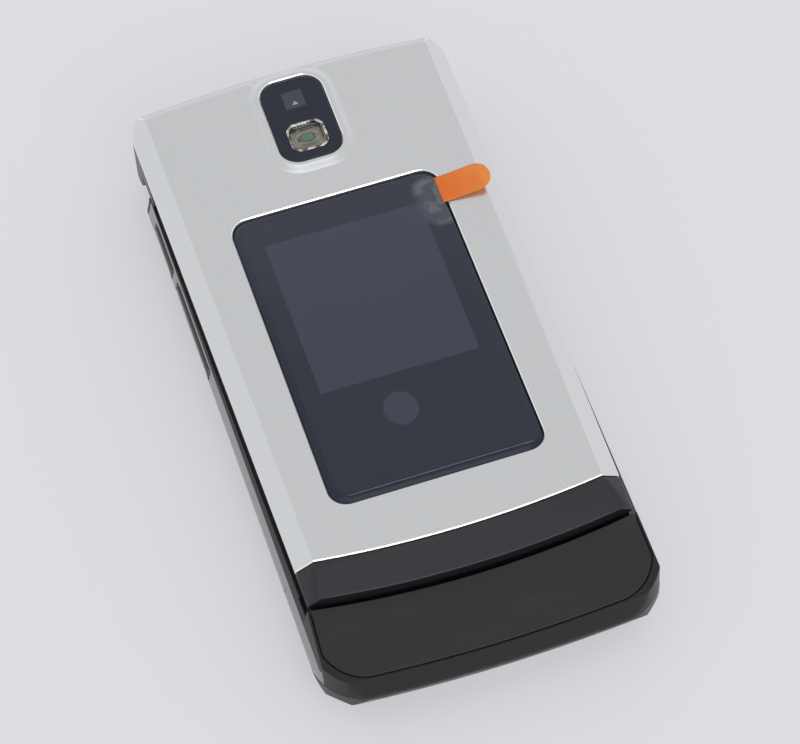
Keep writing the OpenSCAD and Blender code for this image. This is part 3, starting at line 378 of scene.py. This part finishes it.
finishes = {
    "silver": silverCover(),
    "edge": polishedEdge(),
    "band": grainy("band_black", (0.009, 0.011, 0.014), (0.015, 0.017, 0.020), 0.36, 0.08, 8.0, 0.002),
    "frame": grainy("frame_black", (0.010, 0.010, 0.013), (0.016, 0.016, 0.019), 0.34, 0.1, 8.0, 0.002),
    "chin": chinBlack(),
    "wall": grainy("wall_black", (0.005, 0.006, 0.007), (0.010, 0.011, 0.012), 0.4, 0.1, 8.0, 0.003, ior=1.38),
    "lower": grainy("lower_grey", (0.014, 0.014, 0.013), (0.022, 0.022, 0.020), 0.36, 0.1, 7.0, 0.004),
    "rail": grainy("rail_gloss", (0.006, 0.007, 0.009), (0.010, 0.011, 0.014), 0.1, 0.04, 5.0, 0.0008,
                   coat=1.0, ior=1.6),
    "arm": grainy("arm_grey", (0.085, 0.086, 0.09), (0.115, 0.116, 0.12), 0.45, 0.1, 7.0, 0.003),
    "lens": outerLens(),
    "innerLens": innerLens(),
    "gloss": grainy("gloss_black", (0.002, 0.006, 0.016), (0.006, 0.011, 0.024), 0.07, 0.04, 5.0, 0.0004),
    "camera": grainy("camera_grey", (0.028, 0.034, 0.046), (0.045, 0.050, 0.066), 0.25, 0.1, 4.0, 0.001),
    "pane": cameraPane(),
    "ring": flashRing(),
    "steel": grainy("plain_steel", (0.48, 0.48, 0.49), (0.58, 0.58, 0.59), 0.3, 0.12, 5.0, 0.001,
                    metal=1.0, stretch=(1, 0.1, 1)),
    "lamp": lampChip(),
    "clear": clearLens(),
    "film": clearFilm(),
    "tab": orangeTab(),
    "rubber": grainy("soft_pad", (0.012, 0.012, 0.012), (0.02, 0.02, 0.02), 0.7, 0.1, 6.0, 0.004),
    "keyDark": grainy("key_dark", (0.03, 0.031, 0.034), (0.042, 0.043, 0.047), 0.38, 0.1, 7.0, 0.002),
    "keySilver": grainy("key_silver", (0.25, 0.255, 0.26), (0.30, 0.305, 0.31), 0.4, 0.1, 8.0, 0.001,
                        metal=0.7),
    "keyGreen": grainy("key_green", (0.03, 0.12, 0.05), (0.045, 0.16, 0.07), 0.38, 0.1, 7.0, 0.002),
    "keyRed": grainy("key_red", (0.2, 0.02, 0.018), (0.26, 0.03, 0.026), 0.38, 0.1, 7.0, 0.002),
    "board": grainy("green_board", (0.012, 0.09, 0.035), (0.02, 0.13, 0.055), 0.4, 0.1, 3.0, 0.004),
    "sheet": grainy("white_sheet", (0.6, 0.6, 0.58), (0.7, 0.7, 0.68), 0.45, 0.1, 5.0, 0.002),
    "wrap": grainy("battery_wrap", (0.02, 0.02, 0.024), (0.03, 0.03, 0.034), 0.4, 0.1, 4.0, 0.003),
    "legend": grainy("key_legend", (0.62, 0.64, 0.66), (0.72, 0.73, 0.74), 0.4, 0.05, 6.0, 0.0005),
}
print("finishes made:", len(finishes))

# which finish each CAD node gets; the ones with an edge width are copied with rounded edges
dress = {
    "lid_cover": ("silver", 0.14), "lid_tip_band": ("band", 0.2), "lid_frame": ("frame", 0.05),
    "hinge_barrel": ("frame", 0.0), "outer_display_window": ("lens", 0.1),
    "outer_display_panel": ("gloss", 0.0), "camera_window": ("gloss", 0.05),
    "camera_module": ("camera", 0.0), "flash_ring": ("ring", 0.08), "flash_led": ("lamp", 0.0),
    "flash_lens": ("clear", 0.03), "main_display_window": ("innerLens", 0.08),
    "main_display_panel": ("gloss", 0.0), "earpiece_grille": ("steel", 0.0),
    "earpiece_speaker": ("wall", 0.0), "lid_board": ("board", 0.0), "lid_bumpers": ("rubber", 0.1),
    "lid_screws": ("steel", 0.03), "hinge_cartridge": ("steel", 0.0), "hinge_pin_left": ("steel", 0.0),
    "hinge_pin_right": ("steel", 0.0), "hinge_arm_left": ("arm", 0.1), "hinge_arm_right": ("arm", 0.1),
    "keypad_cover": ("wall", 0.06), "chin_cap": ("chin", 0.2), "rear_housing": ("lower", 0.1),
    "side_rail_left": ("rail", 0.06), "side_rail_right": ("rail", 0.06),
    "key_dome_sheet": ("sheet", 0.0), "main_board": ("board", 0.0), "shield_can": ("steel", 0.1),
    "battery": ("wrap", 0.2), "loudspeaker": ("wall", 0.0), "vibration_motor": ("steel", 0.0),
    "card_holder": ("steel", 0.05), "data_port": ("steel", 0.0), "audio_jack": ("gloss", 0.0),
    "base_screws": ("steel", 0.03), "battery_cover": ("lower", 0.08), "volume_key": ("rail", 0.06),
    "talk_key": ("rail", 0.06), "soft_key_left": ("keySilver", 0.1),
    "soft_key_right": ("keySilver", 0.1), "call_key": ("keyGreen", 0.1), "end_key": ("keyRed", 0.1),
    "navigation_ring": ("keySilver", 0.08), "select_key": ("keyDark", 0.08),
}
numberKeys = ["key_" + digit for digit in ("1", "2", "3", "4", "5", "6", "7", "8", "9", "star", "0", "hash")]
for key in numberKeys:
    dress[key] = ("keyDark", 0.1)


def paint(piece, *names):
    piece.data.materials.clear()
    for name in names:
        piece.data.materials.append(finishes[name])


# an object that holds a finished mesh, curve, lamp or camera
def asPiece(name, mesh):
    piece = bpy.data.objects.new(name, mesh)
    scene.collection.objects.link(piece)
    return piece


def meshOf(name, bm):
    mesh = bpy.data.meshes.new(name)
    bm.to_mesh(mesh)
    bm.free()
    return mesh


def evaluated(piece):
    return bpy.data.meshes.new_from_object(piece.evaluated_get(bpy.context.evaluated_depsgraph_get()))


# what counts as a sharp edge or a crease, in degrees, and as a broad face, in square millimetres
rounding = {"merge": 0.02, "flat": 0.4, "sharp": 40, "crease": 30, "broad": 30}


# merged copy of a CAD node: sharp outer edges are rounded, and creases between broad faces stay crisp
def roundedCopy(name, finish, width, edgeFinish=None):
    bm = bmesh.new()
    bm.from_mesh(nodes[name].data)
    bmesh.ops.remove_doubles(bm, verts=bm.verts, dist=rounding["merge"] * mm)
    bmesh.ops.dissolve_degenerate(bm, edges=bm.edges, dist=rounding["merge"] * mm)
    bmesh.ops.dissolve_limit(bm, angle_limit=math.radians(rounding["flat"]), verts=bm.verts, edges=bm.edges)
    for face in bm.faces:
        face.smooth = True
        face.material_index = 0
    rounded = bm.edges.layers.float.new("bevel_weight_edge")
    broad = rounding["broad"] * mm * mm
    for edge in bm.edges:
        turn = math.degrees(edge.calc_face_angle(0.0))
        if turn > rounding["sharp"] and edge.is_convex:
            edge[rounded] = 1.0
        elif turn > rounding["crease"] and min(face.calc_area() for face in edge.link_faces) > broad:
            edge.smooth = False
    mesh = meshOf(name + "_skin", bm)
    if "custom_normal" in mesh.attributes:
        mesh.attributes.remove(mesh.attributes["custom_normal"])
    piece = asPiece(name + "_skin", mesh)
    paint(piece, finish, *([edgeFinish] if edgeFinish else []))
    bevel = piece.modifiers.new("edges", "BEVEL")
    bevel.width = width * mm
    bevel.segments = 3
    bevel.limit_method = "WEIGHT"
    bevel.use_clamp_overlap = False
    if edgeFinish:
        bevel.segments = 1
        bevel.material = 1
        flatEdges(piece)
    weigh = piece.modifiers.new("normals", "WEIGHTED_NORMAL")
    weigh.weight = 100
    weigh.keep_sharp = True
    return piece


# makes the bevel part of the mesh, with its narrow faces flat so that they catch the light as lines
def flatEdges(piece):
    mesh = evaluated(piece)
    piece.modifiers.clear()
    mesh.name = piece.name
    for face in mesh.polygons:
        face.use_smooth = face.material_index == 0
    piece.data = mesh


bodyOf = {n: b for b, members in frame["record"]["behaviour"]["bodies"].items() for n in members}
copies = {}
for name, (finish, width) in dress.items():
    if width:
        copies[name] = roundedCopy(name, finish, width, "edge" if name == "lid_cover" else None)
        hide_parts(name)
        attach(copies[name], bodyOf[name])
    else:
        paint(nodes[name], finish)
print("rounded copies:", len(copies))


def cameraGlass():
    mid = middle("camera_module") * mm
    side = (pane["size"] - 2 * pane["inset"]) * mm
    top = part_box("camera_window")[1].z - pane["below"] * mm
    bm = bmesh.new()
    bmesh.ops.create_cube(bm, size=1.0)
    for v in bm.verts:
        v.co = Vector((mid.x + v.co.x * side, mid.y + v.co.y * side, top + (v.co.z - 0.5) * pane["thick"] * mm))
    piece = asPiece("camera_pane", meshOf("camera_pane", bm))
    edge = piece.modifiers.new("edges", "BEVEL")
    edge.width, edge.segments = pane["edge"] * mm, 2
    paint(piece, "pane")
    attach(piece, "lid")


cameraGlass()
print("camera pane made")


# a thin sheet gets its thickness and finish
def asFilm(piece, finish):
    solid = piece.modifiers.new("thickness", "SOLIDIFY")
    solid.thickness = film["thick"] * mm
    solid.offset = 1
    paint(piece, finish)
    return piece


def filmSheet():
    lo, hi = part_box("outer_display_window")
    bm = bmesh.new()
    z = hi.z + film["lift"] * mm
    x0, x1 = lo.x + film["rim"] * mm, hi.x - film["rightRim"] * mm
    y0, y1 = lo.y + film["rim"] * mm, hi.y - film["rim"] * mm
    r = film["corner"] * mm
    corners = [(x1 - r, y1 - r, 0), (x0 + r, y1 - r, 90), (x0 + r, y0 + r, 180), (x1 - r, y0 + r, 270)]
    ring = []
    for cx, cy, start in corners:
        for k in range(film["cornerSteps"] + 1):
            a = math.radians(start + 90 * k / film["cornerSteps"])
            ring.append(bm.verts.new((cx + r * math.cos(a), cy + r * math.sin(a), z)))
    bm.faces.new(ring)
    return asFilm(asPiece("film_sheet", meshOf("film_sheet", bm)), "film")


def filmTab():
    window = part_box("outer_display_window")[1]
    root = window.x - (film["rightRim"] + film["tabUnder"]) * mm
    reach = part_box("screen_film")[1].x + film["tabPast"] * mm - root
    half = film["tabWidth"] / 2 * mm
    midY = window.y - half - (film["rim"] + film["tabDown"]) * mm
    z0 = window.z + (film["lift"] + film["thick"]) * mm
    steps, across = film["steps"], film["across"]
    bm = bmesh.new()
    rows = []
    for i in range(steps + 1):
        t = i / steps
        along = reach * t
        end = reach - half
        w = half if along <= end else math.sqrt(max(half ** 2 - (along - end) ** 2, 1e-12))
        rise = film["curl"] * mm * t ** film["curlPower"]
        rows.append([bm.verts.new((root + along, midY + w * (2 * k / across - 1), z0 + rise))
                     for k in range(across + 1)])
    for a, b in zip(rows, rows[1:]):
        for k in range(across):
            bm.faces.new((a[k], b[k], b[k + 1], a[k + 1]))
    bmesh.ops.remove_doubles(bm, verts=bm.verts, dist=2e-6)
    for face in bm.faces:
        face.smooth = True
    return asFilm(asPiece("film_tab", meshOf("film_tab", bm)), "tab")


sheetPiece, tabPiece = filmSheet(), filmTab()
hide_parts("screen_film")
for piece in (sheetPiece, tabPiece):
    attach(piece, "lid")
print("film and tab made")

# cross recesses in the screw heads, one small cross on each
recess = {"arm": 0.95, "width": 0.24, "depth": 0.03}


def crossTree():
    tree = bpy.data.node_groups.new("screw_crosses", "GeometryNodeTree")
    face = tree.interface
    face.new_socket("Geometry", in_out="INPUT", socket_type="NodeSocketGeometry")
    ids = {name: face.new_socket(name, in_out="INPUT", socket_type="NodeSocketFloat").identifier
           for name in ("Arm", "Width", "Depth")}
    ids["Material"] = face.new_socket("Material", in_out="INPUT", socket_type="NodeSocketMaterial").identifier
    face.new_socket("Geometry", in_out="OUTPUT", socket_type="NodeSocketGeometry")
    start = tree.nodes.new("NodeGroupInput")
    end = tree.nodes.new("NodeGroupOutput")
    join = tree.nodes.new("GeometryNodeJoinGeometry")
    for order in (("Arm", "Width", "Depth"), ("Width", "Arm", "Depth")):
        size = tree.nodes.new("ShaderNodeCombineXYZ")
        bar = tree.nodes.new("GeometryNodeMeshCube")
        for slot, name in enumerate(order):
            tree.links.new(start.outputs[name], size.inputs[slot])
        tree.links.new(size.outputs[0], bar.inputs["Size"])
        tree.links.new(bar.outputs["Mesh"], join.inputs[0])
    spots = tree.nodes.new("GeometryNodeMeshToPoints")
    place = tree.nodes.new("GeometryNodeInstanceOnPoints")
    real = tree.nodes.new("GeometryNodeRealizeInstances")
    skin = tree.nodes.new("GeometryNodeSetMaterial")
    tree.links.new(start.outputs["Geometry"], spots.inputs["Mesh"])
    tree.links.new(spots.outputs[0], place.inputs["Points"])
    tree.links.new(join.outputs[0], place.inputs["Instance"])
    tree.links.new(place.outputs[0], real.inputs[0])
    tree.links.new(real.outputs[0], skin.inputs["Geometry"])
    tree.links.new(start.outputs["Material"], skin.inputs["Material"])
    tree.links.new(skin.outputs[0], end.inputs[0])
    return tree, ids


# middle of each separate screw's lowest face, where its head is
def screwHeads(name):
    bm = bmesh.new()
    bm.from_mesh(nodes[name].data)
    bmesh.ops.remove_doubles(bm, verts=bm.verts, dist=1e-6)
    left, heads = set(bm.verts), []
    while left:
        todo = [left.pop()]
        island = list(todo)
        while todo:
            for edge in todo.pop().link_edges:
                for v in edge.verts:
                    if v in left:
                        left.remove(v)
                        todo.append(v)
                        island.append(v)
        xs, ys, zs = ([v.co[k] for v in island] for k in range(3))
        heads.append(((min(xs) + max(xs)) / 2, (min(ys) + max(ys)) / 2, min(zs)))
    bm.free()
    return heads


def screwCrosses(name, tree, ids):
    mesh = bpy.data.meshes.new(name + "_spots")
    mesh.from_pydata(screwHeads(name), [], [])
    holder = asPiece(name + "_crosses", mesh)
    make = holder.modifiers.new("crosses", "NODES")
    make.node_group = tree
    for key in ("arm", "width", "depth"):
        make[ids[key.capitalize()]] = recess[key] * mm
    make[ids["Material"]] = finishes["rubber"]
    made = evaluated(holder)
    holder.modifiers.clear()
    holder.data = made
    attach(holder, bodyOf[name])
    return len(mesh.vertices)


crosses, crossIds = crossTree()
print("screw crosses:", [screwCrosses(name, crosses, crossIds) for name in ("lid_screws", "base_screws")])

# numbers on the keys, as flat shapes on each key's top
legend = {"size": 3.6, "lift": 0.01, "glyphs": {"star": "*", "hash": "#"}}


def keyLegend(key, glyph):
    lo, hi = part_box(key)
    curve = bpy.data.curves.new(key + "_legend", "FONT")
    curve.body = glyph
    curve.size = legend["size"] * mm
    curve.align_x = "CENTER"
    curve.align_y = "CENTER"
    text = asPiece("text", curve)
    bpy.context.view_layer.update()
    mesh = evaluated(text)
    bpy.data.objects.remove(text)
    mid = (lo + hi) / 2
    mesh.transform(Matrix.Translation((mid.x, mid.y, hi.z + legend["lift"] * mm)))
    piece = asPiece(key + "_legend", mesh)
    paint(piece, "legend")
    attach(piece, key)


for key in numberKeys:
    glyph = key.removeprefix("key_")
    keyLegend(key, legend["glyphs"].get(glyph, glyph))
print("key legends made")

# pale table with a painted shadow that darkens it towards the front, an even sky that is brighter low down and
# overhead, and a broad bright panel in front
# the table also gets a painted shadow, darker by a set factor over a band towards the front
studio = {"table": (0.785, 0.785, 0.81), "glow": (0.745, 0.745, 0.775), "glowShare": 0.6,
          "mottle": 0.985, "paintedFrontShade": 0.86, "paintedShadeBand": (-125.0, -55.0), "half": 3.0, "drop": 0.05,
          "sky": 0.69, "horizon": 0.30, "zenith": 0.55, "overhead": (0.93, 0.99), "tone": (0.978, 0.99, 1.01),
          "panel": 1.8, "panelSize": (0.6, 0.45), "panelFrom": (0.1, -0.66, 0.62),
          "panelAt": (0, 0, 0.01)}


def table():
    f = Finish("pale_table")
    cloud = f.noise(0.02, 2.0)
    fine = f.noise(1.5, 4.0)
    # painted shadow: the table's colour and its glow are darkened towards the front of the phone
    paintedFrontShade = 1 - f.y.rise(*studio["paintedShadeBand"])
    mottled = tuple(c * studio["mottle"] for c in studio["table"])
    paintedShadowTable, paintedShadowGlow = (tuple(c * studio["paintedFrontShade"] for c in studio[part]) for part in ("table", "glow"))
    far = f.tint(cloud * 0.6 + fine * 0.4, mottled, studio["table"])
    shader = f.surface(Base_Color=f.tint(paintedFrontShade, far, paintedShadowTable), Roughness=0.6 + fine * 0.1)
    path = f.add("ShaderNodeLightPath", output=None)
    seen = Wire(f.tree, path.outputs["Is Camera Ray"])
    for ray in ("Is Glossy Ray", "Is Transmission Ray"):
        seen = seen.high(Wire(f.tree, path.outputs[ray]))
    pale = f.tint(paintedFrontShade, studio["glow"], paintedShadowGlow)
    glow = f.add("ShaderNodeEmission", {}, {"Color": pale, "Strength": 1.0}, output=None)
    f.blend(seen * studio["glowShare"], shader, glow)
    mesh = bpy.data.meshes.new("table")
    half = studio["half"]
    corners = [(-half, -half, 0), (half, -half, 0), (half, half, 0), (-half, half, 0)]
    mesh.from_pydata(corners, [], [(0, 1, 2, 3)])
    floor = asPiece("table", mesh)
    floor.location.z = cadBox[0].z - studio["drop"] * mm
    floor.data.materials.append(f.mat)


def lightUp():
    world = bpy.data.worlds.new("studio")
    scene.world = world
    world.use_nodes = True
    tree = world.node_tree
    back = tree.nodes["Background"]
    place = tree.nodes.new("ShaderNodeTexCoord")
    split = tree.nodes.new("ShaderNodeSeparateXYZ")
    tree.links.new(place.outputs["Generated"], split.inputs[0])
    up = Wire(tree, split.outputs[2]).high(0.0)
    low = (1 - up) * (1 - up) * studio["horizon"]
    level = low + up.rise(*studio["overhead"]) * studio["zenith"] + studio["sky"]
    tree.links.new(level.socket, back.inputs["Strength"])
    back.inputs["Color"].default_value = (*studio["tone"], 1)
    lamp = bpy.data.lights.new("panel", "AREA")
    lamp.shape = "RECTANGLE"
    lamp.size, lamp.size_y = studio["panelSize"]
    lamp.energy = studio["panel"]
    piece = asPiece("panel", lamp)
    piece.location = studio["panelFrom"]
    piece.rotation_euler = (Vector(studio["panelAt"]) - piece.location).to_track_quat("-Z", "Y").to_euler()


# camera fitted to the corners of the outer lens in the photograph
photo = {"place": (-70.0, -279.8, 431.95), "right": (0.9502, -0.3086, -0.0429),
         "down": (-0.2788, -0.7809, -0.5590), "ahead": (0.1390, 0.5432, -0.8281),
         "lens": 168.97, "sensor": 36.0, "clip": (0.01, 20.0)}


def photoCamera():
    cam = bpy.data.cameras.new("photo_camera")
    cam.lens, cam.sensor_width, cam.sensor_fit = photo["lens"], photo["sensor"], "HORIZONTAL"
    cam.clip_start, cam.clip_end = photo["clip"]
    piece = asPiece("photo_camera", cam)
    right, down, ahead = (Vector(photo[k]).normalized() for k in ("right", "down", "ahead"))
    turn = Matrix((right, -down, -ahead)).transposed().to_4x4()
    piece.matrix_world = Matrix.Translation(Vector(photo["place"]) * mm) @ turn
    scene.camera = piece


table()
lightUp()
photoCamera()
print("studio ready")
